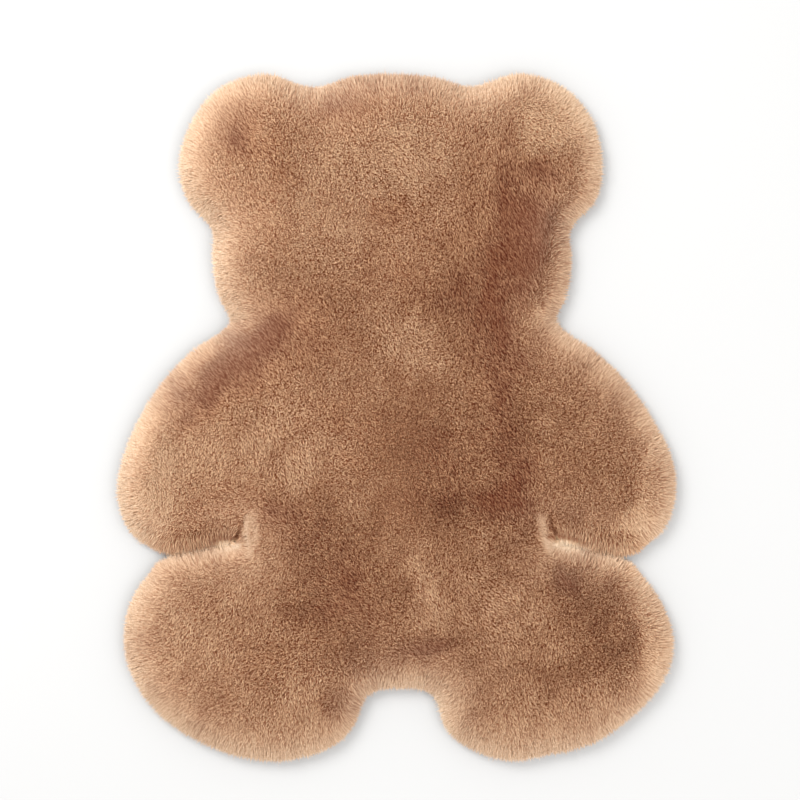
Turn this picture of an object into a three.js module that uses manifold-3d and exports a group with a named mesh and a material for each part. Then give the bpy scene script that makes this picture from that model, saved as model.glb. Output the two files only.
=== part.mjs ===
// A bear shaped rug: one panel of long plush pile, cut to the outline of a sitting bear.
// Millimetres, +Z up. The rug lies flat on its back, its head towards +Y, and the origin is
// on the floor under the middle of its outline.

import * as THREE from 'three';
import { mergeVertices } from 'three/addons/utils/BufferGeometryUtils.js';
import Module from 'manifold-3d';

const wasm = await Module();
wasm.setup();

// The whole rug
const RUG_LENGTH = 1000; // crown to soles, between the tips of the pile
const RUG_WIDTH = 0.82 * RUG_LENGTH; // hand to hand, at most
const PILE_HEIGHT = 36; // floor to the tips of the pile, away from the rim

// The rim, where the pile leans out and rolls over the edge of the cloth
const RIM_ROLL = 30; // how far in from the edge the roll begins
const RIM_DROP = 25; // how far the roll comes down from the top of the pile
const RIM_STEPS = 4; // facets across the roll
const EDGE_STEP = 17; // length of a facet along the edge

// The locks, the tips of the pile that stand out of the rim
const LOCK_REACH = 7; // how far a lock stands out of the slab
const LOCK_ROOT = 9; // how far its root is sunk in
const LOCK_WIDTH = 26; // across the root
const LOCK_FLATNESS = 0.55; // thickness of a root over its width
const LOCK_PITCH = 15; // from lock to lock along the edge
const LOCK_SIDES = 3;
const LOCK_LEAN = 0.3; // sideways lean at most, in radians
const LEAN_TURN = 2.4; // how far the lean moves on from lock to lock, in radians
const LOCK_ROWS = [
  { name: 'low', root: 10, tip: 5 },
  { name: 'high', root: 15, tip: 12 },
]; // heights over the floor, taken in turn round the rim
const LOCK_ROOM = 30; // a lock needs this much open floor before it, so the slits have none
const FACING = 0.5; // two stretches of the edge face each other past this share of head-on

const SAME_POINT = 1e-3; // points closer than this are one

// The lumps, soft swells in the top of the pile
const LUMP_GRID = 26; // size of a facet on the top
const LUMP_ROWS = [
  { name: 'swell', pitch: 260, height: 1.0, turn: 0.4 },
  { name: 'clump', pitch: 150, height: 1.1, turn: 1.3 },
  { name: 'tuft', pitch: 94, height: 0.9, turn: 2.2 },
];
const LUMP_TOTAL = LUMP_ROWS.reduce((sum, row) => sum + row.height, 0);

// Where the tips of the pile end, in thousandths of the rug's length, from the crown down each
// side to the middle of the crotch. Left and right are the sides of the rug seen from above, and
// the cutting is a little uneven.
const MIDLINE = { crown: [0, 499], crotch: [5, -396] };
const OUTLINE = [
  { at: 'crown side', left: [-62, 496], right: [60, 493] },
  { at: 'ear dip', left: [-120, 479], right: [107, 480] },
  { at: 'ear top', left: [-192, 499], right: [182, 500] },
  { at: 'ear shoulder', left: [-258, 478], right: [247, 477] },
  { at: 'ear side', left: [-300, 426], right: [289, 424] },
  { at: 'ear wide', left: [-317, 362], right: [300, 362] },
  { at: 'ear low', left: [-303, 311], right: [291, 313] },
  { at: 'ear notch', left: [-268, 272], right: [254, 272] },
  { at: 'cheek', left: [-268, 222], right: [256, 222] },
  { at: 'jaw', left: [-256, 166], right: [246, 168] },
  { at: 'neck notch', left: [-240, 139], right: [232, 139] },
  { at: 'shoulder', left: [-294, 99], right: [292, 94] },
  { at: 'upper arm', left: [-342, 49], right: [340, 45] },
  { at: 'elbow', left: [-378, -9], right: [376, -8] },
  { at: 'forearm', left: [-401, -70], right: [401, -60] },
  { at: 'hand', left: [-406, -118], right: [407, -112] },
  { at: 'finger tips', left: [-386, -171], right: [388, -167] },
  { at: 'palm', left: [-342, -195], right: [338, -199] },
  { at: 'under the hand', left: [-292, -191], right: [290, -193] },
  { at: 'slit top', left: [-244, -178], right: [240, -177] },
  { at: 'slit end', left: [-230, -183], right: [224, -182] },
  { at: 'slit foot', left: [-244, -189], right: [240, -190] },
  { at: 'over the thigh', left: [-290, -197], right: [288, -200] },
  { at: 'thigh', left: [-342, -212], right: [340, -214] },
  { at: 'knee', left: [-382, -259], right: [382, -262] },
  { at: 'leg', left: [-397, -320], right: [404, -332] },
  { at: 'shin', left: [-385, -376], right: [388, -386] },
  { at: 'heel', left: [-346, -432], right: [344, -436] },
  { at: 'sole', left: [-282, -475], right: [282, -477] },
  { at: 'foot', left: [-215, -498], right: [214, -493] },
  { at: 'toes', left: [-160, -500], right: [165, -501] },
  { at: 'instep', left: [-96, -482], right: [104, -482] },
  { at: 'ankle', left: [-60, -450], right: [68, -450] },
  { at: 'crotch side', left: [-49, -418], right: [59, -414] },
  { at: 'crotch corner', left: [-36, -400], right: [46, -399] },
];

function pileOutline() {
  const down = OUTLINE.map((row) => row.right);
  const up = OUTLINE.map((row) => row.left).reverse();
  const places = [MIDLINE.crown, ...down, MIDLINE.crotch, ...up];
  const scale = RUG_LENGTH / 1000;
  const points = places.map(([x, y]) => new THREE.Vector3(x * scale, y * scale, 0));
  return new THREE.CatmullRomCurve3(points, true, 'centripetal');
}

// Places at even steps along the outline: each with its outward direction, and the open floor
// straight ahead of it, up to a limb whose edge faces it
function placesAlong(curve, step) {
  const count = 2 * Math.round(curve.getLength() / step / 2);
  const places = [];
  for (let i = 0; i < count; i += 1) {
    const point = curve.getPointAt(i / count);
    const along = curve.getTangentAt(i / count);
    places.push({ point, outward: new THREE.Vector3(-along.y, along.x, 0) });
  }
  for (const place of places) {
    place.room = Infinity;
    for (const other of places) {
      const way = other.point.clone().sub(place.point);
      const ahead = way.dot(place.outward);
      const aside = Math.sqrt(Math.max(way.lengthSq() - ahead * ahead, 0));
      if (ahead > 0 && aside < step && other.outward.dot(place.outward) < -FACING) {
        place.room = Math.min(place.room, ahead);
      }
    }
  }
  return places;
}

// The edge of the slab stands back from the tips of its locks, and where there are none it
// reaches as far as the pile does
function slabEdge(curve) {
  return placesAlong(curve, EDGE_STEP).map(({ point, outward, room }) => {
    const share = THREE.MathUtils.smoothstep(room, LOCK_ROOM / 2, LOCK_ROOM);
    return point.clone().addScaledVector(outward, -LOCK_REACH * share);
  });
}

// A closed body for joining and cutting, from a geometry
function bodyOf(geometry) {
  const bare = geometry.clone();
  bare.deleteAttribute('normal');
  bare.deleteAttribute('uv');
  const merged = mergeVertices(bare, SAME_POINT);
  const mesh = new wasm.Mesh({
    numProp: 3,
    vertProperties: new Float32Array(merged.attributes.position.array),
    triVerts: new Uint32Array(merged.index.array),
  });
  return new wasm.Manifold(mesh);
}

function geometryOf(body) {
  const mesh = body.getMesh();
  const geometry = new THREE.BufferGeometry();
  geometry.setAttribute('position', new THREE.BufferAttribute(mesh.vertProperties, 3));
  geometry.setIndex(new THREE.BufferAttribute(mesh.triVerts, 1));
  return geometry;
}

// The outline raised to the top of the pile, its upper edge rolled over
function rolledSlab(outline) {
  const shape = new THREE.Shape(outline.map((p) => new THREE.Vector2(p.x, p.y)));
  const straight = PILE_HEIGHT - RIM_DROP;
  const slab = new THREE.ExtrudeGeometry(shape, {
    depth: 2 * straight,
    steps: 1,
    bevelThickness: RIM_DROP,
    bevelSize: RIM_ROLL,
    bevelOffset: -RIM_ROLL,
    bevelSegments: RIM_STEPS,
  });
  return slab.translate(0, 0, -straight);
}

function lumpHeight(x, y) {
  let height = 0;
  for (const row of LUMP_ROWS) {
    const along = x * Math.cos(row.turn) + y * Math.sin(row.turn);
    const across = y * Math.cos(row.turn) - x * Math.sin(row.turn);
    const wave = (2 * Math.PI) / row.pitch;
    height += row.height * Math.sin(along * wave) * Math.cos(across * wave);
  }
  return height;
}

// A block that bears the lumps of the pile on its top and reaches as far under the floor
function lumpyBlock() {
  const columns = Math.ceil(RUG_WIDTH / LUMP_GRID);
  const rows = Math.ceil(RUG_LENGTH / LUMP_GRID);
  const block = new THREE.BoxGeometry(RUG_WIDTH, RUG_LENGTH, 2 * PILE_HEIGHT, columns, rows, 1);
  const place = block.attributes.position;
  for (let i = 0; i < place.count; i += 1) {
    if (place.getZ(i) > 0) {
      const lump = lumpHeight(place.getX(i), place.getY(i));
      place.setZ(i, PILE_HEIGHT - LUMP_TOTAL + lump);
    }
  }
  return block;
}

// The floor, which cuts the underside flat
function floorBlock() {
  const floor = new THREE.BoxGeometry(2 * RUG_WIDTH, 2 * RUG_LENGTH, 2 * PILE_HEIGHT);
  return floor.translate(0, 0, -PILE_HEIGHT);
}

// One lock: a flattened spike of three sides, its root inside the slab
function lockAt(place, outward, row, lean) {
  const way = outward.clone().applyAxisAngle(new THREE.Vector3(0, 0, 1), lean);
  const root = place.clone().addScaledVector(way, -LOCK_REACH - LOCK_ROOT);
  const tip = place.clone();
  root.z = row.root;
  tip.z = row.tip;
  const length = tip.distanceTo(root);
  const spike = new THREE.ConeGeometry(LOCK_WIDTH / 2, length, LOCK_SIDES);
  spike.translate(0, length / 2, 0);
  spike.scale(1, 1, LOCK_FLATNESS);
  const along = tip.clone().sub(root).normalize();
  const aside = new THREE.Vector3().crossVectors(along, new THREE.Vector3(0, 0, 1)).normalize();
  const over = new THREE.Vector3().crossVectors(aside, along);
  spike.applyMatrix4(new THREE.Matrix4().makeBasis(aside, along, over).setPosition(root));
  return spike;
}

function rimLocks(curve) {
  const locks = [];
  placesAlong(curve, LOCK_PITCH).forEach(({ point, outward, room }, i) => {
    if (room > LOCK_ROOM) {
      const lean = LOCK_LEAN * Math.sin(i * LEAN_TURN);
      locks.push(lockAt(point, outward, LOCK_ROWS[i % LOCK_ROWS.length], lean));
    }
  });
  return locks;
}

function plushRug() {
  const curve = pileOutline();
  const raised = bodyOf(rolledSlab(slabEdge(curve))).intersect(bodyOf(lumpyBlock()));
  const slab = raised.subtract(bodyOf(floorBlock()));
  const locks = rimLocks(curve).map(bodyOf);
  const rug = geometryOf(locks.reduce((joined, lock) => joined.add(lock), slab));
  rug.computeBoundingBox();
  const middle = rug.boundingBox.getCenter(new THREE.Vector3());
  return rug.translate(-middle.x, -middle.y, 0);
}

const plush = new THREE.MeshStandardMaterial({ color: 0xa67857, roughness: 0.95, metalness: 0 });

const rug = new THREE.Mesh(plushRug(), plush);
rug.name = 'plush_rug';

const group = new THREE.Group();
group.add(rug);

export default group;
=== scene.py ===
# %% [markdown]
# A bear shaped plush rug
#
# The rug is one panel of long, dense pile cloth, cut to the outline of a bear and laid flat on
# the floor. Nearly all that the eye reads is pile: short woolly fibres that hide the cloth, and
# longer ones over them that stand up in the middle and fan out over the edge. This lesson
# starts from the imported solid, puts a slim padded cloth in its place, and grows the pile on it
# as real mesh tufts, so that the outline, the rim and the parted slits all come from geometry.
# The pale rim and the lines of the slits are also painted into the colour as light and shade.

import math

import bmesh
import bpy
import numpy as np
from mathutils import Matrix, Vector


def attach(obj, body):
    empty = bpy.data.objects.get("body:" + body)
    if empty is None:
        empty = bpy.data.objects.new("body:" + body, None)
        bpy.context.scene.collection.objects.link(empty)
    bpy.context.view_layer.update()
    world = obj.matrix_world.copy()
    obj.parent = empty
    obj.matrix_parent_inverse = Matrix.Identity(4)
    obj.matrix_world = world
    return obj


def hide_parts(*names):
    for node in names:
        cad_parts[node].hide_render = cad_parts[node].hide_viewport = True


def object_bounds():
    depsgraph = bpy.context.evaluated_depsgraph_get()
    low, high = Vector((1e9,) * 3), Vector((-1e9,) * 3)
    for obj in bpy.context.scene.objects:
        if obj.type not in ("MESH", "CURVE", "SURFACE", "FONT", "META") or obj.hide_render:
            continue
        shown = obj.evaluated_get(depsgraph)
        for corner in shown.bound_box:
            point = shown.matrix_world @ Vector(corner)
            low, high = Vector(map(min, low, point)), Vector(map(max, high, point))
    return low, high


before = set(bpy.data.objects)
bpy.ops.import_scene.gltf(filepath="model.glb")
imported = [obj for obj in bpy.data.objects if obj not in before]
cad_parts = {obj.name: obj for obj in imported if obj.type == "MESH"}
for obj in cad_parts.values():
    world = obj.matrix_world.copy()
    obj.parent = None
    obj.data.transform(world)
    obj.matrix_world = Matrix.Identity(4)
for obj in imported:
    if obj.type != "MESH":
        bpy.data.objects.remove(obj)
cad_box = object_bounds()
rug_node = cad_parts["plush_rug"]
print("solid from", [round(v, 3) for v in cad_box[0]], "to", [round(v, 3) for v in cad_box[1]])

# %% [markdown]
# Sizes
#
# Everything is in metres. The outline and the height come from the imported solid, so only what
# the solid doesn't know is named here: how thick the cloth with its underwool is, how long the
# pile is, and how close its tufts stand.

# %% The driving sizes
LOCK_REACH = 0.007  # the tips of the pile end this far outside the solid's straight edge
PILE_HEIGHT = cad_box[1].z - cad_box[0].z

CLOTH_INSET = 0.008  # the padded cloth stands back from the solid's edge by this
CLOTH_HEIGHT = 0.020  # floor to the top of the underwool
CLOTH_SIDE = 0.004  # height at which its edge begins to roll over
CLOTH_ROLL = 0.015  # how far in the roll reaches

TUFT_PITCH = 0.0015  # from tuft to tuft
TUFT_LENGTH = 0.0158
TUFT_WIDTH = 0.0015  # across its root
WISP_SHARE = 0.16  # of the tufts at the rim stand out as loose wisps
WISP_REACH = 0.006  # how far a wisp may pass the others
FAN_DEPTH = 0.050  # how far in from the edge the pile begins to lean outwards
SEED = 7  # of all random draws, so that every run gives the same rug

# %% [markdown]
# The edge of the cloth
#
# The solid's flat underside is bounded by the edge that the cutter followed. Reading that loop
# from the frame keeps the pile on the part whatever its outline is. A bmesh copy has its
# doubles merged, its underside faces found, and their boundary walked in order.


# %% Read the cut edge from the underside
SAME_PLACE = 1e-6  # vertices this close are one
ON_FLOOR = 1e-5  # a face whose vertices all lie lower belongs to the underside


def underside_edge(node):
    """The boundary of the flat underside, in order, counterclockwise seen from above."""
    bm = bmesh.new()
    bm.from_mesh(node.data)
    bmesh.ops.remove_doubles(bm, verts=bm.verts, dist=SAME_PLACE)
    flat = {f for f in bm.faces if all(v.co.z < ON_FLOOR for v in f.verts)}
    rim = [e for e in bm.edges if sum(f in flat for f in e.link_faces) == 1]
    edges_at = {}
    for e in rim:
        for v in e.verts:
            edges_at.setdefault(v, []).append(e)
    start = rim[0].verts[0]
    loop, last, v = [start], None, start
    while True:
        e = next(e for e in edges_at[v] if e is not last)
        v, last = e.other_vert(v), e
        if v is start:
            break
        loop.append(v)
    edge = np.array([v.co.xy for v in loop])
    bm.free()
    x, y = edge.T
    area = 0.5 * float(np.sum(x * np.roll(y, -1) - np.roll(x, -1) * y))
    return edge if area > 0 else edge[::-1]


def even_loop(loop, step):
    """The closed loop with its points at even steps."""
    closed = np.vstack([loop, loop[:1]])
    run = np.concatenate([[0], np.cumsum(np.hypot(*np.diff(closed, axis=0).T))])
    count = int(round(run[-1] / step))
    at = np.arange(count) * run[-1] / count
    return np.column_stack([np.interp(at, run, closed[:, k]) for k in (0, 1)])


cut_edge = underside_edge(rug_node)
print("edge of", len(cut_edge), "points")

# %% [markdown]
# How deep a place lies inside the edge
#
# The pile leans outwards near the edge and stands up further in, so each place needs its
# distance to the edge and the way out. Both are worked out once on a coarse grid and read back
# between its points, which is fast enough for hundreds of thousands of tufts.


# %% A grid of depth inside the edge
TINY = 1e-6  # the least that anything is divided by


class DepthField:
    """Signed depth inside a closed loop, and the outward direction, on a grid."""

    STEP = 0.003
    MARGIN = 0.03  # the grid reaches this far past the loop
    BATCHES = 40  # the places are measured a batch at a time, to save memory
    OUT_PASSES = 6  # how far the outward direction is softened

    def __init__(self, loop):
        self.low = loop.min(0) - self.MARGIN
        size = np.ceil((loop.max(0) + self.MARGIN - self.low) / self.STEP).astype(int) + 1
        xs = self.low[0] + self.STEP * np.arange(size[0])
        ys = self.low[1] + self.STEP * np.arange(size[1])
        self.places = np.stack(np.meshgrid(xs, ys, indexing="ij"), -1).reshape(-1, 2)
        batches = np.array_split(self.places, self.BATCHES)
        self.depth = np.concatenate([self.measured(b, loop) for b in batches]).reshape(size)
        gx, gy = np.gradient(self.softened(self.depth, self.OUT_PASSES), self.STEP)
        self.out = np.stack([-gx, -gy], -1)

    @staticmethod
    def softened(table, passes):
        """Each value drawn halfway to the mean of its four neighbours, again and again."""
        for _ in range(passes):
            p = np.pad(table, 1, mode="edge")
            near = (p[:-2, 1:-1] + p[2:, 1:-1] + p[1:-1, :-2] + p[1:-1, 2:]) / 4
            table = (table + near) / 2
        return table

    @staticmethod
    def measured(points, loop):
        """Distance to the nearest stretch of the loop, below zero outside it."""
        a, b = loop, np.roll(loop, -1, axis=0)
        run = b - a
        rel = points[:, None] - a[None]
        t = np.clip((rel * run).sum(-1) / (run**2).sum(-1), 0, 1)
        near = np.sqrt((((rel - t[..., None] * run) ** 2).sum(-1)).min(1))
        x, y = points[:, 0:1], points[:, 1:2]
        spans = (a[None, :, 1] > y) != (b[None, :, 1] > y)
        with np.errstate(divide="ignore", invalid="ignore"):
            cross = a[:, 0] + (y - a[:, 1]) * (b[:, 0] - a[:, 0]) / (b[:, 1] - a[:, 1])
        inside = (spans & (x < cross)).sum(1) % 2 == 1
        return np.where(inside, near, -near)

    def read(self, table, points):
        """A table of the grid read between its places."""
        at = (points - self.low) / self.STEP
        size = np.array(table.shape[:2])
        cell = np.clip(np.floor(at).astype(int), 0, size - 2)
        f = np.clip(at - cell, 0, 1)
        if table.ndim == 3:
            f = f[:, :, None]
        i, j = cell.T
        low = table[i, j] * (1 - f[:, 0]) + table[i + 1, j] * f[:, 0]
        high = table[i, j + 1] * (1 - f[:, 0]) + table[i + 1, j + 1] * f[:, 0]
        return low * (1 - f[:, 1]) + high * f[:, 1]

    def depth_at(self, points):
        return self.read(self.depth, points)

    def out_at(self, points):
        way = self.read(self.out, points)
        return way / np.maximum(np.linalg.norm(way, axis=1, keepdims=True), TINY)


field = DepthField(cut_edge)
print("deepest place is", round(float(field.depth.max()), 3), "m inside the edge")

# %% [markdown]
# Soft noise
#
# Nap, clumps and cloudy shades all come from the same thing: random numbers on a lattice,
# blended smoothly between. A seeded lattice gives the same rug on every run.


# %% Smooth random values over the plan
LATTICE = 512  # values each way, after which they repeat
LATTICE_START = 500.0  # keeps every place on the rug at a positive count


def soft_noise(points, pitch, seed, turn=0.0, stretch=1.0):
    """Values from -1 to 1 that change over about one pitch, drawn out along a direction."""
    c, s = math.cos(turn), math.sin(turn)
    u = (points[:, 0] * c + points[:, 1] * s) / (pitch * stretch) + LATTICE_START
    v = (points[:, 1] * c - points[:, 0] * s) / pitch + LATTICE_START
    i, j = np.floor(u).astype(int), np.floor(v).astype(int)
    f, g = u - i, v - j
    f, g = f * f * (3 - 2 * f), g * g * (3 - 2 * g)
    table = np.random.default_rng(seed).uniform(-1, 1, (LATTICE, LATTICE))
    i, j, i_next, j_next = (k % LATTICE for k in (i, j, i + 1, j + 1))
    near = table[i, j] * (1 - f) + table[i_next, j] * f
    far = table[i, j_next] * (1 - f) + table[i_next, j_next] * f
    return near * (1 - g) + far * g


def soft_step(value, low, high):
    """0 up to low, 1 from high on, and a smooth rise between. Low may be the greater one."""
    t = np.clip((value - low) / (high - low), 0, 1)
    return t * t * (3 - 2 * t)


print("noise repeats after", LATTICE, "steps")

# %% [markdown]
# The padded cloth
#
# Under the pile lies the cloth with its short dense underwool. Through the tufts it shows only
# as the dark between them, so it is a plain slim body: the cut edge as one face, raised, with
# its upper edge rolled over by a few insets that each climb a little less.


# %% Rings at a set depth, and the share of the rim's painted light
INSET_ROUNDS = 8  # of moving a loop to its depth
# The rim's pale peach is painted light, of light coming through the fibres. It reaches further in
# on the left, the lamps' side, and less far on the arm's side of a slit, which is painted as the
# shaded side.
RIM_FADE = 0.031  # how far in the pale rim fades,
FADE_LEFT = 0.006  # so much further on the left and less far on the right,
FADE_SLIT = 0.014  # so much less far beside a slit,
FADE_ARM = 0.006  # and still less on the arm's side of it than on the leg's
RIM_START = 0.006  # the fade is counted from this far outside the edge,
SLIT_START = 0.004  # and from so much nearer it beside a slit


def inset_loop(loop, inward):
    """The loop moved inwards by following the depth field."""
    moved = loop.copy()
    for _ in range(INSET_ROUNDS):
        short = inward - field.depth_at(moved)
        moved -= field.out_at(moved) * short[:, None]
    return moved


def rim_share_at(depth, outward, beside_slit=0.0):
    """The share of the rim's painted light: near 1 at the edge and 0 well inside it."""
    nearer = (FADE_SLIT - FADE_ARM * outward[:, 1]) * beside_slit
    fade = RIM_FADE - FADE_LEFT * outward[:, 0] - nearer
    return np.exp(-np.clip(depth + RIM_START - SLIT_START * beside_slit, 0, None) / fade)


print("the rim fades over", RIM_FADE, "m")

# %% Model the cloth with its underwool
EDGE_STEP = 0.002  # between points of the edge as it is moved in
RING_STEP = 0.005  # between vertices round the cloth
ROLL_STEPS = 6
WELD = 0.0002  # vertices of the roll this close are one


def rolled_edge(bm, ring):
    """A face on the floor raised step by step, each new ring moved in along the roll."""
    top = bm.faces.new([bm.verts.new((x, y, 0.0)) for x, y in ring])
    for k in range(ROLL_STEPS + 1):
        turn = math.pi / 2 * k / ROLL_STEPS
        ring = inset_loop(ring, CLOTH_INSET + CLOTH_ROLL * (1 - math.cos(turn)))
        height = CLOTH_SIDE + (CLOTH_HEIGHT - CLOTH_SIDE) * math.sin(turn)
        raised = bmesh.ops.extrude_face_region(bm, geom=[top])["geom"]
        below, top = top, next(g for g in raised if isinstance(g, bmesh.types.BMFace))
        for vert, (x, y) in zip(top.verts, ring):
            vert.co = (x, y, height)
        if k:
            bm.faces.remove(below)


def padded_cloth():
    """The cloth as one closed body, with its share of the rim in an attribute."""
    ring = even_loop(inset_loop(even_loop(cut_edge, EDGE_STEP), CLOTH_INSET), RING_STEP)
    bm = bmesh.new()
    rolled_edge(bm, inset_loop(ring, CLOTH_INSET))
    bmesh.ops.triangulate(bm, faces=[f for f in bm.faces if len(f.verts) > 4])
    bmesh.ops.remove_doubles(bm, verts=bm.verts, dist=WELD)
    bmesh.ops.recalc_face_normals(bm, faces=bm.faces[:])
    mesh = bpy.data.meshes.new("plush_cloth")
    bm.to_mesh(mesh)
    bm.free()
    places = np.array([v.co.xy for v in mesh.vertices])
    share = rim_share_at(field.depth_at(places), field.out_at(places))
    rim = mesh.attributes.new("rim", "FLOAT", "POINT")
    rim.data.foreach_set("value", share.astype(np.float32))
    piece = bpy.data.objects.new("plush_cloth", mesh)
    bpy.context.collection.objects.link(piece)
    return piece


cloth = padded_cloth()
print("cloth", len(cloth.data.polygons), "faces")

# %% [markdown]
# Where the tufts grow
#
# A jittered honeycomb spreads the roots evenly over the flat top. Round the rolled edge the
# plan would starve the steep side, so there the roots follow the edge in rows, from the floor
# side of the roll to its top.


# %% Roots on the flat top and round the rolled edge
rng = np.random.default_rng(SEED)
JITTER = 0.42  # of the pitch, each way
ROW_SPREAD = (0.1, 0.9)  # where in its row's height a root may grow
ROW_JITTER = 0.5  # of the pitch, along the row
ROW_ROUNDS = 4  # of moving the roots to their own depth


def fine_grain(rows, columns):
    """Values spread evenly from 0 to 1 that differ most between neighbours."""
    table = rng.uniform(0, 1, (rows, columns))
    near = sum(np.roll(table, step, axis) for axis in (0, 1) for step in (-1, 1)) / 4
    return (table - near).ravel().argsort().argsort() / table.size


def honeycomb(low, high, pitch):
    """Jittered points on a honeycomb between two corners."""
    rise = pitch * math.sqrt(3) / 2
    ny, nx = int((high[1] - low[1]) / rise) + 1, int((high[0] - low[0]) / pitch) + 1
    j, i = np.meshgrid(np.arange(ny), np.arange(nx), indexing="ij")
    x = low[0] + (i + 0.5 * (j % 2)) * pitch
    y = low[1] + j * rise
    points = np.column_stack([x.ravel(), y.ravel()])
    return points + rng.uniform(-JITTER, JITTER, points.shape) * pitch, fine_grain(ny, nx)


def top_roots():
    """Roots, normals and grain on the flat top."""
    points, grain = honeycomb(cut_edge.min(0), cut_edge.max(0), TUFT_PITCH)
    keep = field.depth_at(points) > CLOTH_INSET + CLOTH_ROLL
    points, grain = points[keep], grain[keep]
    count = len(points)
    roots = np.column_stack([points, np.full(count, CLOTH_HEIGHT)])
    normals = np.tile([0.0, 0.0, 1.0], (count, 1))
    return roots, normals, grain


def rim_roots():
    """The same round the roll, in rows, each with as many roots as its ring has room for."""
    climb = CLOTH_HEIGHT - CLOTH_SIDE
    arc = math.pi / 2 * math.sqrt((CLOTH_ROLL**2 + climb**2) / 2)
    rows = int(round((arc + CLOTH_SIDE) / TUFT_PITCH))
    line = even_loop(cut_edge, TUFT_PITCH)
    shades = fine_grain(rows, 2 * len(line)).reshape(rows, -1)
    roots, normals, grain = [], [], []
    for row in range(rows):
        middle = np.clip(((row + 0.5) / rows * (arc + CLOTH_SIDE) - CLOTH_SIDE) / arc, 0, 1)
        ring_inset = CLOTH_INSET + CLOTH_ROLL * (1 - math.cos(middle * math.pi / 2))
        ring = even_loop(inset_loop(line, ring_inset), TUFT_PITCH)
        rise = (row + rng.uniform(*ROW_SPREAD, len(ring))) / rows * (arc + CLOTH_SIDE)
        plan = ring + rng.uniform(-ROW_JITTER, ROW_JITTER, ring.shape) * TUFT_PITCH
        a = np.clip((rise - CLOTH_SIDE) / arc, 0, 1) * math.pi / 2
        inward = CLOTH_INSET + CLOTH_ROLL * (1 - np.cos(a))
        z = np.where(rise < CLOTH_SIDE, rise, CLOTH_SIDE + climb * np.sin(a))
        for _ in range(ROW_ROUNDS):
            plan -= field.out_at(plan) * (inward - field.depth_at(plan))[:, None]
        out = field.out_at(plan)
        n = np.column_stack([out * (climb * np.cos(a))[:, None], CLOTH_ROLL * np.sin(a)])
        roots.append(np.column_stack([plan, z]))
        normals.append(n / np.linalg.norm(n, axis=1, keepdims=True))
        grain.append(shades[row, : len(ring)])
    return np.vstack(roots), np.vstack(normals), np.concatenate(grain)


on_top, round_rim = top_roots(), rim_roots()
roots, normals, grain = (np.concatenate(both) for both in zip(on_top, round_rim))
plan = roots[:, :2]
depth = field.depth_at(plan)
outward = field.out_at(plan)
print("tufts:", len(on_top[0]), "on top,", len(round_rim[0]), "round the rim")

# %% [markdown]
# Room beside the edge
#
# In the slits between arm and leg another limb faces the edge a few millimetres away, and the
# pile has no room to fall over there. Marching outwards from the edge nearest to each place of
# the grid, until the depth field says that another limb begins, gives the room there is.

# %% The open floor outside the edge
ROOM_NEEDED = (0.014, 0.032)  # no reach with less room than the first, all of it from the second
REACH_PASSES = 36  # how far the reach is softened along the edge
MARCH_STEP = 0.0015
MARCH_START = 2  # steps out, past the edge's own doubt
OPEN_FLOOR = 1.0  # room where no limb is met
FACING = -0.4  # the cosine below which another edge looks back at this one


def room_outside(points, depth, outward):
    """The open floor straight ahead of the edge, up to a limb that faces it."""
    room = np.full(len(points), OPEN_FLOOR)
    near = np.flatnonzero(depth < FAN_DEPTH)
    start = points[near] + outward[near] * depth[near, None]
    way = field.out_at(start)
    open_yet = np.ones(len(near), bool)
    for k in range(MARCH_START, int(ROOM_NEEDED[1] / MARCH_STEP) + 2):
        ahead = start + way * (k * MARCH_STEP)
        facing = (field.out_at(ahead) * way).sum(1) < FACING
        hit = open_yet & facing & (field.depth_at(ahead) > 0)
        room[near[hit]] = k * MARCH_STEP
        open_yet &= ~hit
    return room


def free_reach():
    """How far tips may pass the edge on open floor, on the grid, softened along the edge."""
    places = field.places
    room = room_outside(places, field.depth_at(places), field.out_at(places))
    share = soft_step(room, *ROOM_NEEDED).reshape(field.depth.shape)
    return LOCK_REACH * field.softened(share, REACH_PASSES)


open_reach = field.read(free_reach(), plan)
print("reach past the edge up to", round(float(open_reach.max()), 4), "m")

# %% [markdown]
# The two slits
#
# A slit is open at its mouth, then arm and leg touch, and before its inner end it gapes a
# little. Where they touch, the pile of both sides reaches across. Where it gapes, only the pile
# that grows low on the roll reaches across, as a soft floor a step below the rest.

# %% How the pile meets in the slits
SLITS = (
    # place, mouth x, y, inner end x, y in thousandths of the length, touching from and to
    ("left slit", -337, -201, -226, -184, 0.12, 0.61),
    ("right slit", 351, -203, 226, -180, 0.24, 0.585),
)
CLOSING = (0.12, 0.06)  # it closes from so far outside to so far inside each end of that stretch
GAPING = (0.04, 0.14)  # and gapes from so far before its end to so far past it
TOUCH_AWAY = (0.055, 0.040)  # nothing past the first distance from the line, all by the second
GAPE_AWAY = (0.045, 0.030)
SLIT_AWAY = (0.055, 0.020)
LOW_ROOTS = (0.015, 0.011)  # none of the pile above the first height, all below the second
TOUCH_REACH = 0.0115  # past the edge, which closes the slit
LOW_REACH = 0.0095


def beside_line(points, x0, y0, x1, y1):
    """Distance to a line between two places, and how far along it, from 0 to 1."""
    a, b = np.array([x0, y0]) / 1000, np.array([x1, y1]) / 1000
    t = np.clip(((points - a) @ (b - a)) / ((b - a) @ (b - a)), 0, 1)
    return np.linalg.norm(points - a - t[:, None] * (b - a), axis=1), t


def slit_states(points):
    """How much each place is beside a slit, where its sides touch, and where it gapes."""
    nearest, touching, gaping = [], np.zeros(len(points)), np.zeros(len(points))
    out, into = CLOSING
    for _, *line, start, stop in SLITS:
        away, t = beside_line(points, *line)
        nearest.append(away)
        along = soft_step(t, start - out, start + into) * soft_step(t, stop + out, stop - into)
        touching = np.maximum(touching, along * soft_step(away, *TOUCH_AWAY))
        along = soft_step(t, stop - GAPING[0], stop + GAPING[1])
        gaping = np.maximum(gaping, along * soft_step(away, *GAPE_AWAY))
    return soft_step(np.minimum(*nearest), *SLIT_AWAY), touching, gaping


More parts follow.
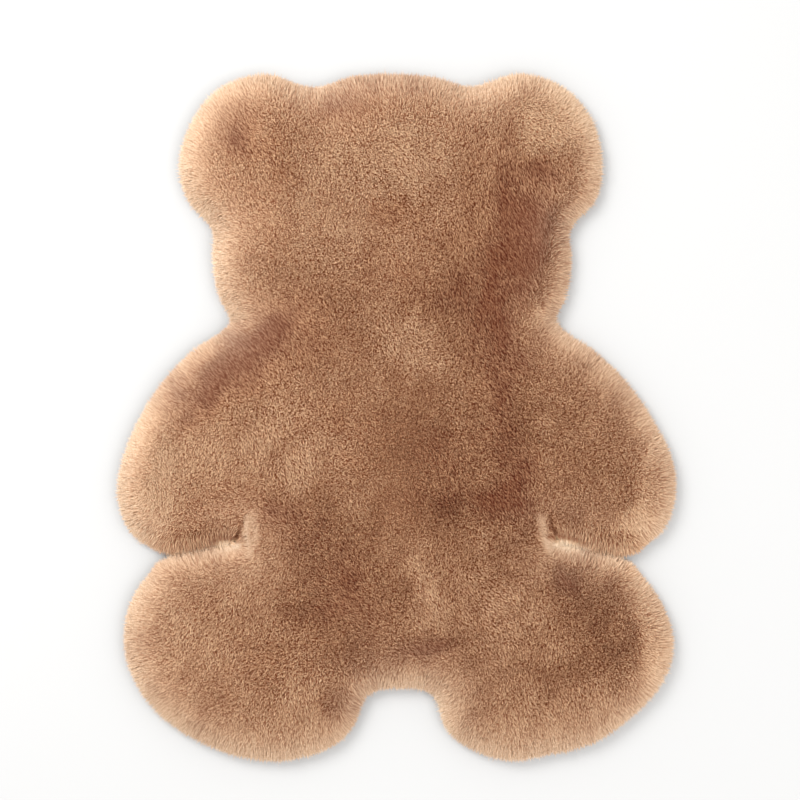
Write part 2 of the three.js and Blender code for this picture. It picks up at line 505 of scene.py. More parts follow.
beside_slit, touching, gaping = slit_states(plan)
low_pile = gaping * soft_step(roots[:, 2], *LOW_ROOTS)
across = np.maximum(touching * TOUCH_REACH, low_pile * LOW_REACH)
reach_past = np.maximum(open_reach * (1 - gaping), across)
print("tufts beside a slit:", int((beside_slit > 0.5).sum()))

# %% [markdown]
# The brushed nap, and its painted shade and light
#
# Plush is darker where its pile has been stroked towards the light and paler where it was
# stroked away, so a rug that has been handled has soft clouds on it. They are placed here, a
# row for each cloud, in thousandths of the rug's length, and their edges are broken up with
# noise. A positive shade is a dark cloud.
# The clouds lean the pile, and their dark and pale are also painted into its colour as shade and
# light.

# %% Clouds of stroked pile, painted as shade and light
NAP_CLOUDS = (
    # place, x, y, half width, half height, turn in degrees, shade: painted shade above 0, painted
    # light below
    ("right cheek", 155, 215, 60, 100, -8, 1.3),
    ("right cheek, outer", 194, 252, 38, 48, 0, 1.6),
    ("right cheek, inner", 80, 176, 32, 40, 0, 0.95),
    ("right of the neck", 152, 102, 58, 54, 0, 1.0),
    ("right ear, inner line", 158, 365, 18, 66, 3, 0.9),
    ("right ear, middle", 214, 362, 38, 28, 10, 1.05),
    ("right ear, root", 209, 292, 46, 36, 0, 0.55),
    ("left ear, spot", -226, 398, 24, 22, 0, 1.35),
    ("left ear, outer", -222, 440, 30, 14, 20, 0.4),
    ("left ear, dip", -96, 444, 40, 22, 0, 1.05),
    ("navel", -23, -5, 30, 24, 0, 0.35),
    ("left shoulder", -222, 82, 108, 34, 40, 1.9),
    ("left upper arm", -284, 26, 38, 28, 40, 0.6),
    ("left of the neck", -168, 112, 30, 26, 0, 0.55),
    ("right collar", 107, 126, 24, 20, 0, -0.4),
    ("right breast", 170, -60, 32, 104, 4, 1.3),
    ("right flank", 150, -135, 76, 26, 0, 1.0),
    ("right upper arm", 275, 10, 70, 44, -40, 0.3),
    ("right hand", 332, -98, 24, 20, 0, 0.25),
    ("belly", 48, -60, 64, 90, 0, 0.75),
    ("right thigh", 274, -268, 62, 48, -35, 0.75),
    ("right thigh, outer", 330, -325, 26, 44, -20, 0.4),
    ("right sole", 240, -362, 62, 30, 10, 0.3),
    ("seat, right", 48, -334, 46, 20, 8, 1.4),
    ("left thigh", -140, -286, 34, 22, 0, 0.8),
    ("seat, left", -84, -250, 55, 74, 10, 0.75),
    ("left instep", -72, -356, 28, 48, 0, 0.5),
    ("left instep, low", -82, -408, 22, 26, 0, 0.5),
    ("left flank", -96, -190, 50, 62, 0, 0.5),
    ("left armpit", -165, -140, 26, 20, 0, 0.9),
    ("brow", 0, 298, 34, 18, 0, 0.8),
    ("crown", 0, 482, 180, 18, 0, 0.6),
    ("left arm", -214, -32, 76, 76, 20, -0.75),
    ("left hand", -344, -92, 28, 66, 0, -1.5),
    ("left wrist", -284, -78, 40, 36, 0, -0.3),
    ("belly, foot", 6, -208, 34, 26, 0, -0.2),
    ("left brow", -67, 343, 38, 38, 0, -0.3),
    ("left knee", -292, -262, 48, 36, -35, -0.35),
    ("right sole, low", 209, -439, 50, 20, 0, -0.2),
    ("head, all over", -20, 320, 190, 130, 0, -0.12),
    ("forehead", -8, 385, 74, 52, 0, -0.65),
    ("left temple", -112, 300, 42, 80, 0, -0.6),
    ("muzzle", 8, 254, 52, 28, 0, -0.25),
    ("breastbone", -2, 122, 38, 50, 20, -0.45),
    ("left breast", -112, -56, 46, 38, 20, -0.25),
    ("belly, low", 60, -226, 60, 28, 0, -0.25),
    ("right shin", 156, -290, 80, 34, 12, -0.28),
    ("seat, middle", 42, -252, 18, 46, 10, -0.75),
    ("left foot", -236, -368, 88, 64, 0, -0.25),
    ("left sole", -130, -396, 54, 28, 20, -0.55),
    ("right ear, rim", 230, 422, 48, 38, 0, -2.1),
    ("right wrist", 209, -92, 18, 58, 0, -0.35),
    ("right palm", 336, -142, 20, 12, 0, -1.1),
    ("right hand, rim", 354, -96, 14, 60, 0, -0.8),
    ("right leg, rim", 356, -325, 16, 60, 0, -0.8),
    ("right knee", 325, -222, 30, 22, -35, -0.5),
    ("right jaw", 188, 140, 18, 30, 0, -1.2),
    ("breast, upper right", 36, 68, 34, 34, 0, -0.45),
    ("breast, upper left", -81, 53, 44, 34, 0, -0.35),
    ("right hip", 236, -250, 26, 26, 0, 1.0),
)
print("clouds:", len(NAP_CLOUDS))

# %% The nap at every tuft
NAP_WARP = ((0.011, 0.040, 0), (0.005, 0.014, 2))  # how far, pitch, and what the seed adds
WARP_SEEDS = (41, 51)  # for x and for y
NAP_NOISE = ((0.38, 0.034, 61, 0.9, 1.6), (0.38, 0.015, 62, 1.2, 1.5))  # amount and soft_noise
CLOUD_POWER, CLOUD_FALL = 1.1, 0.95  # how firm a cloud's edge is, and how soon it falls off
NAP_GAIN = 1.4
NAP_RANGE = (-1.6, 2.1)


def nap_at(points):
    """The nap's lean and its painted shade: about 1 in a dark cloud, 0 where unstroked, -1 in a
    pale one.
    """
    x, y = (points[:, k] + sum(far * soft_noise(points, pitch, seed + more)
                               for far, pitch, more in NAP_WARP)
            for k, seed in enumerate(WARP_SEEDS))
    nap = np.zeros(len(points))
    for _, cx, cy, width, height, turn, shade in NAP_CLOUDS:
        c, s = math.cos(math.radians(turn)), math.sin(math.radians(turn))
        dx, dy = x - cx / 1000, y - cy / 1000
        u, v = (dx * c + dy * s) / width * 1000, (dy * c - dx * s) / height * 1000
        nap += shade * np.exp(-((u * u + v * v) ** CLOUD_POWER) * CLOUD_FALL)
    nap *= NAP_GAIN
    for amount, *noise in NAP_NOISE:
        nap += amount * soft_noise(points, *noise)
    return np.clip(nap, *NAP_RANGE)


nap = nap_at(plan)
print("nap from", round(float(nap.min()), 2), "to", round(float(nap.max()), 2))

# %% [markdown]
# Partings and ridges
#
# At the inner end of each slit the cut runs on a little way between arm and body without
# opening. The pile parts along it, short and with a painted shade at the bottom of the groove,
# and stands up in a ridge on the body's side of it, painted pale as light.

# %% Partings at the ends of the slits, and the ridges beside them
PARTINGS = (
    # place, from x, y, to x, y, half width, all in thousandths of the rug's length
    ("left armpit", -229, -173, -217, -141, 4.0),
    ("right armpit", 228, -171, 222, -146, 4.5),
)
PARTING_NARROWS = 0.6  # of its width is lost by its far end
# the nap in a parting, a painted shade at the bottom of the groove
PARTED_NAP = 0.4
RIDGES = (
    ("left, beside the arm", -207, -140, -203, -171, 10.0),
    ("left, over the leg", -203, -171, -212, -200, 10.0),
    ("right, beside the arm", 208, -146, 211, -171, 8.5),
    ("right, over the leg", 211, -171, 222, -195, 8.5),
)


def line_share(points, rows, narrowing=0.0):
    """1 along the lines of a table, falling to 0 away from them."""
    share = np.zeros(len(points))
    for _, x0, y0, x1, y1, width in rows:
        away, t = beside_line(points, x0, y0, x1, y1)
        reach = width / 1000 * (1 - narrowing * t)
        share = np.maximum(share, np.exp(-((away / reach) ** 2)))
    return share


parted = line_share(plan, PARTINGS, PARTING_NARROWS)
ridge = line_share(plan, RIDGES) * (1 - parted)
nap += (PARTED_NAP - nap) * parted - nap * ridge
print("tufts parted:", int((parted > 0.3).sum()), "and on a ridge:", int((ridge > 0.3).sum()))

# %% [markdown]
# Which way each tuft leans
#
# The lean changes softly from place to place with the nap, clumps a little, and opens outwards
# near the edge, where no neighbour holds the pile up.

# %% The lean of the pile
STROKE = np.array([-0.57, 0.82])  # towards the light
STROKE_LEAN = 0.24  # sideways for each step up, where the nap is 1
STROKE_DEPTH = 0.05  # where the stroke leans the pile in full
SWAY, SWAY_PITCH, SWAY_SEEDS = 0.14, 0.070, (11, 12)
CLUMP, CLUMP_PITCH, CLUMP_SEEDS = 0.05, 0.006, (21, 22)
WISP_LEAN = 0.16  # of single tufts, by chance, and less towards the edge
WISP_DEPTH = 0.06  # all of it from so far inside the edge
FAN_LEAN, FAN_POWER = 0.9, 1.8
FAN_SLIT = 0.35  # of the fan is lost beside a slit
UPRIGHT, LOW_UPRIGHT = 0.10, 0.5  # added to the upward part, and more low in a slit


def noise_pair(points, pitch, seeds):
    return np.column_stack([soft_noise(points, pitch, seed) for seed in seeds])


def lean_field(points):
    """The sideways part of each tuft's direction."""
    sway = noise_pair(points, SWAY_PITCH, SWAY_SEEDS) * SWAY
    clump = noise_pair(points, CLUMP_PITCH, CLUMP_SEEDS) * CLUMP
    loose = soft_step(depth, -WISP_DEPTH, WISP_DEPTH)[:, None]
    wisp = rng.normal(0, WISP_LEAN, (len(points), 2)) * loose
    fan = np.clip(1 - depth / FAN_DEPTH, 0, 1) ** FAN_POWER * FAN_LEAN
    fan = fan * (1 - FAN_SLIT * beside_slit)
    stroked = STROKE_LEAN * soft_step(depth, 0.0, STROKE_DEPTH)[:, None]
    return sway + clump + wisp + nap[:, None] * STROKE * stroked + outward * fan[:, None]


def tuft_directions():
    """Each tuft's direction: away from the cloth, and leaning as the field says."""
    lean = lean_field(plan)
    way = normals + np.column_stack([lean, np.zeros(len(lean))])
    way[:, 2] += UPRIGHT + LOW_UPRIGHT * low_pile
    return way / np.linalg.norm(way, axis=1, keepdims=True)


ways = tuft_directions()
print("mean lean", round(float(np.degrees(np.arccos(ways[:, 2])).mean()), 1), "degrees")

# %% [markdown]
# How long each tuft is, and where it ends
#
# No two tufts are quite as long, a few at the rim stand out as loose wisps, and the pile is
# short in a parting. A tuft that would reach too far past the edge has its sideways part cut
# back to the room it has, and stands up steeper and somewhat shorter instead.

# %% Lengths and tips
SWELL, SWELL_PITCH, SWELL_SEED = 0.07, 0.020, 31
EDGE_EXTRA = 1.4  # of WISP_REACH is what the longest tufts at the edge are longer by
EDGE_DEPTH = (0.016, 0.010)  # none deeper in than the first, all of it from the second out
LONGEST = 1.05  # times the length
UNEVEN, UNEVEN_INSIDE = 0.20, 0.14  # of the length that chance takes off, and more inside
UNEVEN_DEPTH = (0.01, 0.05)  # where that begins, and where it is reached
PARTED_CUT, RIDGE_GAIN, TOUCH_GAIN, LOW_GAIN = 0.6, 0.05, 0.3, 0.35
FRAY, FRAY_DEPTH = 0.14, (-0.02, 0.01)  # how much more the outermost tufts differ
LOOSE = (0.0002, 0.0014)  # mean and spread of how far tips pass their line
GAPE_TRIM = 0.7  # of that is trimmed beside a gap
LEAST_REACH = 0.0012  # outwards, which every tip is allowed
CUT_BACK = (0.35, 0.5)  # length kept by a tuft with no room, and more beside a slit
TIP_FLOOR = 0.0008  # no tip is lower than this
TIP_PROUD = 0.0006  # or further than this above the solid


def chance(low=0.0):
    """A draw for every tuft, from low to 1."""
    return rng.uniform(low, 1, len(roots))


def tuft_lengths():
    """The length of each tuft before anything stands in its way."""
    tuft = TUFT_LENGTH * (1 + SWELL * soft_noise(plan, SWELL_PITCH, SWELL_SEED))
    at_edge = soft_step(depth, *EDGE_DEPTH) * (1 - beside_slit)
    tuft += at_edge * chance() ** 3 * EDGE_EXTRA * WISP_REACH
    tuft *= LONGEST - (UNEVEN + UNEVEN_INSIDE * soft_step(depth, *UNEVEN_DEPTH)) * chance() ** 2
    tuft *= (1 - PARTED_CUT * parted) * (1 + RIDGE_GAIN * ridge)
    tuft *= (1 + TOUCH_GAIN * touching) * (1 + LOW_GAIN * low_pile)
    return tuft * (1 + FRAY * soft_step(-depth, *FRAY_DEPTH) * chance(-1.0))


def allowed_reach():
    """How far outwards each tip may lie from its root, with a few loose wisps further out."""
    wisps = chance() < WISP_SHARE
    loose = rng.normal(*LOOSE, len(roots)) + wisps * rng.uniform(0, WISP_REACH, len(roots))
    return np.maximum(depth + reach_past + loose * (1 - GAPE_TRIM * gaping), LEAST_REACH)


def tuft_tips(ways):
    """The tips, kept inside their room, off the floor and near the top of the solid."""
    tuft = tuft_lengths()
    side = ways[:, :2] * tuft[:, None]
    kept = np.clip(allowed_reach() / np.maximum((side * outward).sum(1), TINY), 0, 1)
    side *= kept[:, None]
    tuft *= kept + (1 - kept) * (CUT_BACK[0] + CUT_BACK[1] * beside_slit)
    rise = np.sqrt(np.maximum(tuft**2 - (side**2).sum(1), 0)) * np.sign(ways[:, 2])
    tips = roots + np.column_stack([side, rise])
    tips[:, 2] = np.clip(tips[:, 2], TIP_FLOOR, PILE_HEIGHT + TIP_PROUD)
    return tips


tips = tuft_tips(ways)
ways = (tips - roots) / np.linalg.norm(tips - roots, axis=1, keepdims=True)
print("highest tip", round(float(tips[:, 2].max()), 4), "m above the floor")

# %% [markdown]
# Painted shade and light along the slits
#
# Seen from above, a slit is a few fine lines, painted into the tufts: a painted shade in the
# crease at its inner end, a soft painted shadow under the lip of the arm, and painted light on
# the gap below it and on the ridge round its end. The eye sees the tips of the pile, so these
# lines go by where the tips end and not by the roots.

# %% Painted shade and painted light in lines, by the tips
SLIT_SHADES = (
    # place, from x, y, to x, y, half width, in thousandths of the length, and shade: painted
    # shade above 0, painted light below
    ("left crease, upper", -226, -150, -229, -164, 2.2, 0.6),
    ("left crease, lower", -229, -164, -233, -175, 2.6, 0.8),
    ("left crease, end", -233, -175, -240, -179, 2.8, 0.8),
    ("left lip", -240, -179, -252, -180, 3.4, 0.75),
    ("left lip, outer", -252, -180, -268, -184, 3.2, 0.6),
    ("right crease, upper", 222, -142, 225, -157, 2.2, 0.7),
    ("right crease, lower", 225, -157, 232, -170, 3.0, 0.9),
    ("right lip", 223, -174, 238, -176, 3.4, 0.9),
    ("right lip, middle", 238, -176, 257, -181, 3.4, 0.85),
    ("right lip, outer", 257, -181, 277, -188, 3.0, 0.6),
    ("left gap", -230, -185, -248, -188, 3.6, -0.75),
    ("left gap, outer", -248, -188, -267, -192, 3.2, -0.6),
    ("right gap", 229, -184, 252, -189, 3.6, -0.75),
    ("right gap, outer", 252, -189, 277, -195, 3.4, -0.6),
    ("left ridge", -216, -146, -219, -174, 7.5, -0.6),
    ("left ridge, lower", -219, -174, -216, -197, 7.0, -0.6),
    ("right ridge", 212, -146, 214, -174, 6.5, -0.5),
    ("right ridge, lower", 214, -174, 225, -192, 6.0, -0.55),
)


def slit_shade_at(points, sign):
    """How strongly the painted shade lines, or with a sign of -1 the painted light ones, mark
    each place.
    """
    mark = np.zeros(len(points))
    for *row, shade in SLIT_SHADES:
        if shade * sign > 0:
            mark = np.maximum(mark, abs(shade) * line_share(points, [row]))
    return np.clip(mark, 0, 1)


slit_painted_shade = slit_shade_at(tips[:, :2], 1)
slit_painted_light = slit_shade_at(tips[:, :2], -1) * (1 - slit_painted_shade)
print("tufts in a dark line:", int((slit_painted_shade > 0.5).sum()))

# %% [markdown]
# Dark and pale strands, partly painted shade and light
#
# Between the lit tufts lie darker ones, partly a random tone and partly a painted shade such
# as the gaps in the pile give, more of them where the nap is stroked dark. At the rim and beside
# the slits, where light comes through the pile, and on the belly, the strands differ less. Each
# tuft carries its strand, its nap and its share of the rim as attributes, which the material
# reads.

# %% The shade of every tuft
DARK_SHARE = 0.40  # of the tufts are painted dark between the others, as shade,
DARK_BY_NAP = 0.07  # so many more where the nap is stroked dark,
DARK_AT_RIM = 0.1  # and so many fewer at the rim
DARK_LIMITS = (0.08, 0.7)
DARK_END, LIT_START = 0.12, 0.45  # dark strands run from 0 to one, lit ones from the other to 1
CALM_PLACE = np.array([0.005, -0.075])  # the belly, where the strands differ less
CALM_SIZE = np.array([0.055, 0.105])
CALM_SHADE, CALM_PULL = 0.48, 0.45  # what strands are drawn to there, and how far
RIM_SHADE, RIM_PULL = 0.52, 0.7  # the same at the rim
SLIT_PULL = 0.7  # of that at the edge of a slit
EDGE_OF_SLIT = (0.030, 0.005)  # no part of it deeper in than the first, all from the second out
ARM_RIM_CUT, NAP_RIM_CUT = 0.3, 0.25  # lost of the rim's painted light on an arm's side, as painted shade, and in dark nap
RIDGE_RIM = 0.5  # a ridge has this share of the rim's painted light
LINE_CUT = 0.5  # of a strand's light is lost in a painted shade line along a slit
MIDDLE_STRAND, STRAND_TO_NAP = 0.46, 1.1  # a strand darker than the first also deepens its nap
LINE_TO_NAP = 0.8  # added to the nap in a painted shade line

# The share of the rim's painted light: less on the arm's side of a slit and in dark nap, painted
# in on a ridge, none in a parting, cut by a painted shade line and painted in on a light one.
rim_lift = rim_share_at(depth, outward, beside_slit)
slit_edge = beside_slit * soft_step(depth, *EDGE_OF_SLIT)
arm_side = 0.5 - 0.5 * outward[:, 1]
rim_share = rim_lift * (1 - ARM_RIM_CUT * beside_slit * arm_side)
rim_share = np.maximum(rim_share, RIDGE_RIM * ridge) * (1 - parted)
rim_share *= 1 - NAP_RIM_CUT * np.clip(nap, 0, 1)
rim_share = np.maximum(rim_share * (1 - slit_painted_shade), slit_painted_light)

dark_share = np.clip(DARK_SHARE + DARK_BY_NAP * nap - DARK_AT_RIM * rim_share, *DARK_LIMITS)
lit = LIT_START + (1 - LIT_START) * (grain - dark_share) / (1 - dark_share)
strand = np.where(grain < dark_share, DARK_END * grain / dark_share, lit)
calm = np.exp(-(((plan - CALM_PLACE) / CALM_SIZE) ** 2).sum(1))
strand += (CALM_SHADE - strand) * CALM_PULL * calm
strand += (RIM_SHADE - strand) * RIM_PULL * np.maximum(rim_share, SLIT_PULL * slit_edge)
# Low pile in a gap and the painted light lines take a lit strand as painted light; a painted
# shade line darkens it.
strand = np.maximum(strand * (1 - LINE_CUT * slit_painted_shade), np.maximum(low_pile, slit_painted_light))
nap_shade = nap + STRAND_TO_NAP * (MIDDLE_STRAND - strand) * (1 - rim_share)
nap_shade = nap_shade + LINE_TO_NAP * slit_painted_shade
print("dark strands:", round(float((grain < dark_share).mean()), 2), "of all")

# %% [markdown]
# Tufts as mesh
#
# One tuft is a slim three sided spike, open at its root, which is sunk in the underwool. All the
# tufts of one pass of the loom are joined in one mesh made from arrays, the only quick way to
# hold more than sixty thousand of them. The passes are dealt out evenly, so that each covers
# the whole rug. Its UV map gives every tuft a small cell of its own, in the order of its place,
# with the root at the bottom of the cell and the tip at the top.

# %% Corners and cells of the tufts
SIDES = np.array([[0, 1, 3], [1, 2, 3], [2, 0, 3]])
CELL_CORNERS = np.array([[0.12, 0.10], [0.88, 0.10], [0.5, 0.22], [0.5, 0.92]])
NEARLY_UPRIGHT = 0.9  # above this a tuft is turned against the x axis, and not the z axis
TURN_SPREAD = 0.5  # each way, in radians, from a broad flank up
WIDTH_SPREAD = (0.8, 1.2)
ROOT_SUNK = 0.0006  # back along the tuft
ROOT_FLOOR = 0.0005  # no corner is lower than this


def in_cell_order(base):
    """The tufts sorted in bands from the foot of the rug up, and along each band."""
    side = math.ceil(math.sqrt(len(base)))
    order = np.argsort(base[:, 1])
    bands = [order[k : k + side] for k in range(0, len(order), side)]
    return np.concatenate([band[np.argsort(base[band, 0])] for band in bands]), side


def tuft_corners(base, tip, way, width):
    """The four corners of each spike, three at its root with a broad flank up, one at its tip."""
    upright = np.abs(way[:, 2:3]) >= NEARLY_UPRIGHT
    side = np.cross(way, np.where(upright, [[1.0, 0.0, 0.0]], [[0.0, 0.0, 1.0]]))
    side /= np.linalg.norm(side, axis=1, keepdims=True)
    over = np.cross(way, side)
    turn = math.pi / 2 + rng.uniform(-TURN_SPREAD, TURN_SPREAD, len(base))[:, None]
    base = base - ROOT_SUNK * way
    radius = (width / math.sqrt(3) * rng.uniform(*WIDTH_SPREAD, len(base)))[:, None]
    turns = [turn + 2 * math.pi * k / 3 for k in range(3)]
    corners = [base + radius * (side * np.cos(a) + over * np.sin(a)) for a in turns]
    places = np.stack([*corners, tip], 1).reshape(-1, 3)
    places[:, 2] = np.maximum(places[:, 2], ROOT_FLOOR)
    return places


print("a tuft has", len(SIDES), "sides")

# %% [markdown]
# Soft shading of the tufts
#
# A flat sided spike would glitter. So its shading normals take it as part of a soft surface:
# partly the cloth's own direction, lifted towards the sky where the pile glows with light from
# inside, and partly the tuft's, rounded a little across.

# %% Shading normals
WAY_AT_ROOT, WAY_AT_TIP = 0.4, 0.6  # how much of the tuft's own direction counts
RIM_LIFTS, LOW_LIFTS, EDGE_LIFTS = 2.4, 0.8, 3.6  # at the rim, low in a slit, at its edge
ROUNDING, RIM_FLATTENS = 0.5, 0.9  # across the tuft, and how much of it is lost at the rim

lift = RIM_LIFTS * rim_lift + LOW_LIFTS * low_pile + EDGE_LIFTS * slit_edge
rounding = ROUNDING * (1 - RIM_FLATTENS * rim_share)


def soft_normals(places, share):
    """A direction for each corner of these tufts."""
    surface = normals[share] + np.outer(lift[share], [0, 0, 1])
    corners = places.reshape(-1, 4, 3)
    spread = corners[:, :3] - corners[:, :3].mean(1, keepdims=True)
    spread /= np.linalg.norm(spread, axis=2, keepdims=True)
    rounded = rounding[share][:, None, None] * spread
    foot = rounded + (surface + WAY_AT_ROOT * ways[share])[:, None]
    tip = (surface + WAY_AT_TIP * ways[share])[:, None]
    facing = np.concatenate([foot, tip], 1).reshape(-1, 3)
    return facing / np.linalg.norm(facing, axis=1, keepdims=True)


print("lift up to", round(float(lift.max()), 2))

# %% Build the passes of pile
PASSES = ("pile_first", "pile_second", "pile_third", "pile_fourth", "pile_fifth")
RIM_WIDENS, LOW_WIDENS = 1.2, 0.4  # of its width is what a tuft gains there


def tuft_attributes(mesh, share):
    """What the material reads: the shades of each tuft, and how far along it a corner is."""
    values = {"strand": strand, "nap": nap_shade, "rim": rim_share}
    per_corner = {label: np.repeat(value[share], 4) for label, value in values.items()}
    per_corner["reach"] = np.tile([0.0, 0.0, 0.0, 1.0], len(share))
    for label, value in per_corner.items():
        stored = mesh.attributes.new(label, "FLOAT", "POINT")
        stored.data.foreach_set("value", value.astype(np.float32))


def tuft_mesh(name, share):
    """One pass of pile as a mesh, with its cells, attributes and shading normals."""
    order, side = in_cell_order(roots[share])
    share = share[order]
    count = len(share)
    width = TUFT_WIDTH * (1 + RIM_WIDENS * rim_share[share] + LOW_WIDENS * low_pile[share])
    places = tuft_corners(roots[share], tips[share], ways[share], width)
    faces = (SIDES[None] + 4 * np.arange(count)[:, None, None]).reshape(-1, 3)
    mesh = bpy.data.meshes.new(name)
    mesh.vertices.add(len(places))
    mesh.vertices.foreach_set("co", places.ravel())
    mesh.loops.add(3 * len(faces))
    mesh.loops.foreach_set("vertex_index", faces.ravel().astype(np.int32))
    mesh.polygons.add(len(faces))
    mesh.polygons.foreach_set("loop_start", np.arange(0, 3 * len(faces), 3, dtype=np.int32))
    tuft_attributes(mesh, share)
    cell = np.column_stack([np.arange(count) % side, np.arange(count) // side])
    uv = (cell[:, None] + CELL_CORNERS[SIDES.ravel()][None]) / side
    mesh.uv_layers.new(name="OFBake").data.foreach_set("uv", uv.ravel().astype(np.float32))
    mesh.update(calc_edges=True)
    mesh.shade_smooth()
    mesh.normals_split_custom_set_from_vertices(soft_normals(places, share))
    piece = bpy.data.objects.new(name, mesh)
    bpy.context.collection.objects.link(piece)
    return piece


shares = np.array_split(rng.permutation(len(roots)), len(PASSES))
pile = [tuft_mesh(name, share) for name, share in zip(PASSES, shares)]
print("pile", sum(len(p.data.polygons) for p in pile), "triangles in", len(pile), "passes")

# %% [markdown]
# The plush colours, with painted light and shade
#
# A fibre is painted dark where it leaves the cloth, as shade deep in the pile, and pale at its
# tip. Where the nap is stroked into a dark cloud the brown is painted deeper and redder as shade,
# in a pale cloud paler as light, and towards the rim, where the fibres are seen from their side
# with light coming through them, it is painted a pale peach as light. A dark strand is painted
# browner as shade and a lit one paler as light, and at the rim fine speckles take their place.
# Two small node groups hold the colour by the nap and the shade by the fibre, both with painted
# light and shade, because the underwool wears them too.


# %% Helpers for the node groups
def node_group(name, inputs, outputs):
    """An empty group with named sockets, and the sockets to build between."""
    group = bpy.data.node_groups.new(name, "ShaderNodeTree")
    for label, kind in inputs:
        group.interface.new_socket(label, in_out="INPUT", socket_type=kind)
    for label, kind in outputs:
        group.interface.new_socket(label, in_out="OUTPUT", socket_type=kind)
    ends = group.nodes.new("NodeGroupInput"), group.nodes.new("NodeGroupOutput")
    return group, ends[0].outputs, ends[1].inputs


def mix_colour(tree, factor, a, b, blend="MIX"):
    """A mix of two colours. Each input is a socket or a value."""
    mix = tree.nodes.new("ShaderNodeMix")
    mix.data_type = "RGBA"
    mix.blend_type = blend
    for socket, value in zip((mix.inputs[0], mix.inputs[6], mix.inputs[7]), (factor, a, b)):
        if isinstance(value, bpy.types.NodeSocket):
            tree.links.new(value, socket)
        else:
            socket.default_value = value
    return mix.outputs[2]


def remap(tree, value, low, high):
    """A value spread out, so that it is 0 at low and 1 at high."""
    node = tree.nodes.new("ShaderNodeMapRange")
    tree.links.new(value, node.inputs["Value"])
    node.inputs["From Min"].default_value = low
    node.inputs["From Max"].default_value = high
    return node.outputs["Result"]


print("helpers are ready")

# %% Colour by the nap, with painted shade and light
NAP_TO_DARK, NAP_TO_LIGHT = 2.0, -1.3  # the nap at which each colour is reached


def nap_group():
    """Brown by the nap, with painted shade and light in its clouds, and painted light towards the
    rim.
    """
    colour, number = "NodeSocketColor", "NodeSocketFloat"
    group, given, out = node_group(
        "nap_painted_shade_and_light",
        [("Nap", number), ("Rim", number), ("Dark", colour), ("Middle", colour),
         ("Light", colour), ("Rim Colour", colour)],
        [("Color", colour)],
    )
    darkness = remap(group, given["Nap"], 0, NAP_TO_DARK)
    lightness = remap(group, given["Nap"], 0, NAP_TO_LIGHT)
    dark = mix_colour(group, darkness, given["Middle"], given["Dark"])
    both = mix_colour(group, lightness, dark, given["Light"])
    pale = mix_colour(group, given["Rim"], both, given["Rim Colour"])
    group.links.new(pale, out["Color"])
    return group


nap_painted_shade_and_light = nap_group()
print("node group:", nap_painted_shade_and_light.name)

# %% Painted shade and light by the fibre
DARK_STRAND = (0.27, 0.08, 0.01, 1)  # what the colour is multiplied by: browner, as painted shade
LIGHT_STRAND = (1.12, 1.38, 1.52, 1)  # and paler, as painted light
DARK_SPECK = (0.84, 0.76, 0.68, 1)
LIGHT_SPECK = (1.17, 1.25, 1.33, 1)
RIM_ROOT = (1.0, 0.88, 0.76, 1)  # the tint of a root where light comes through the rim
ROOT_POWER = 0.6  # below 1, so that the painted shade of the root stays near it


def fibre_group():
    """Painted shade at the root of a fibre, less towards its tip, and each fibre a little
    different as painted shade and light.
    """
    colour, number = "NodeSocketColor", "NodeSocketFloat"
    group, given, out = node_group(
        "fibre_shade",
        [("Color", colour), ("Root", colour), ("Reach", number), ("Strand", number),
         ("Speckle", number), ("Rim", number)],
        [("Color", colour)],
    )
    tint = mix_colour(group, given["Rim"], given["Root"], RIM_ROOT)
    root = mix_colour(group, 1.0, given["Color"], tint, "MULTIPLY")
    soon = group.nodes.new("ShaderNodeMath")
    soon.operation = "POWER"
    group.links.new(given["Reach"], soon.inputs[0])
    soon.inputs[1].default_value = ROOT_POWER
    along = mix_colour(group, soon.outputs["Value"], root, given["Color"])
    strands = mix_colour(group, given["Strand"], DARK_STRAND, LIGHT_STRAND)
    speckle = mix_colour(group, given["Speckle"], DARK_SPECK, LIGHT_SPECK)
    shade = mix_colour(group, given["Rim"], strands, speckle)
    varied = mix_colour(group, 1.0, along, shade, "MULTIPLY")
    group.links.new(varied, out["Color"])
    return group


fibre_shade = fibre_group()
print("node group:", fibre_shade.name)

# %% Colours of the rug with painted shade and light, and the groups placed in a material
# Dark and Light are the nap's painted shade and light, Rim Colour the rim's painted light; Middle
# is the pile's own brown.
RUG_COLOURS_AND_PAINTED_LIGHT = {
    "Dark": (0.37, 0.125, 0.051, 1),
    "Middle": (0.783, 0.402, 0.207, 1),
    "Light": (1.00, 0.592, 0.341, 1),
    "Rim Colour": (0.785, 0.628, 0.462, 1),
}
# painted shade at a fibre's root, deep in the pile, which also darkens the underwool
PAINTED_ROOT_SHADE = (0.50, 0.40, 0.33, 1)


def attribute(tree, name):
    node = tree.nodes.new("ShaderNodeAttribute")
    node.attribute_name = name
    return node.outputs["Fac"]


def fine_noise(tree, scale):
    place = tree.nodes.new("ShaderNodeTexCoord")
    noise = tree.nodes.new("ShaderNodeTexNoise")
    noise.inputs["Scale"].default_value = scale
    tree.links.new(place.outputs["Object"], noise.inputs["Vector"])
    return noise.outputs["Fac"]


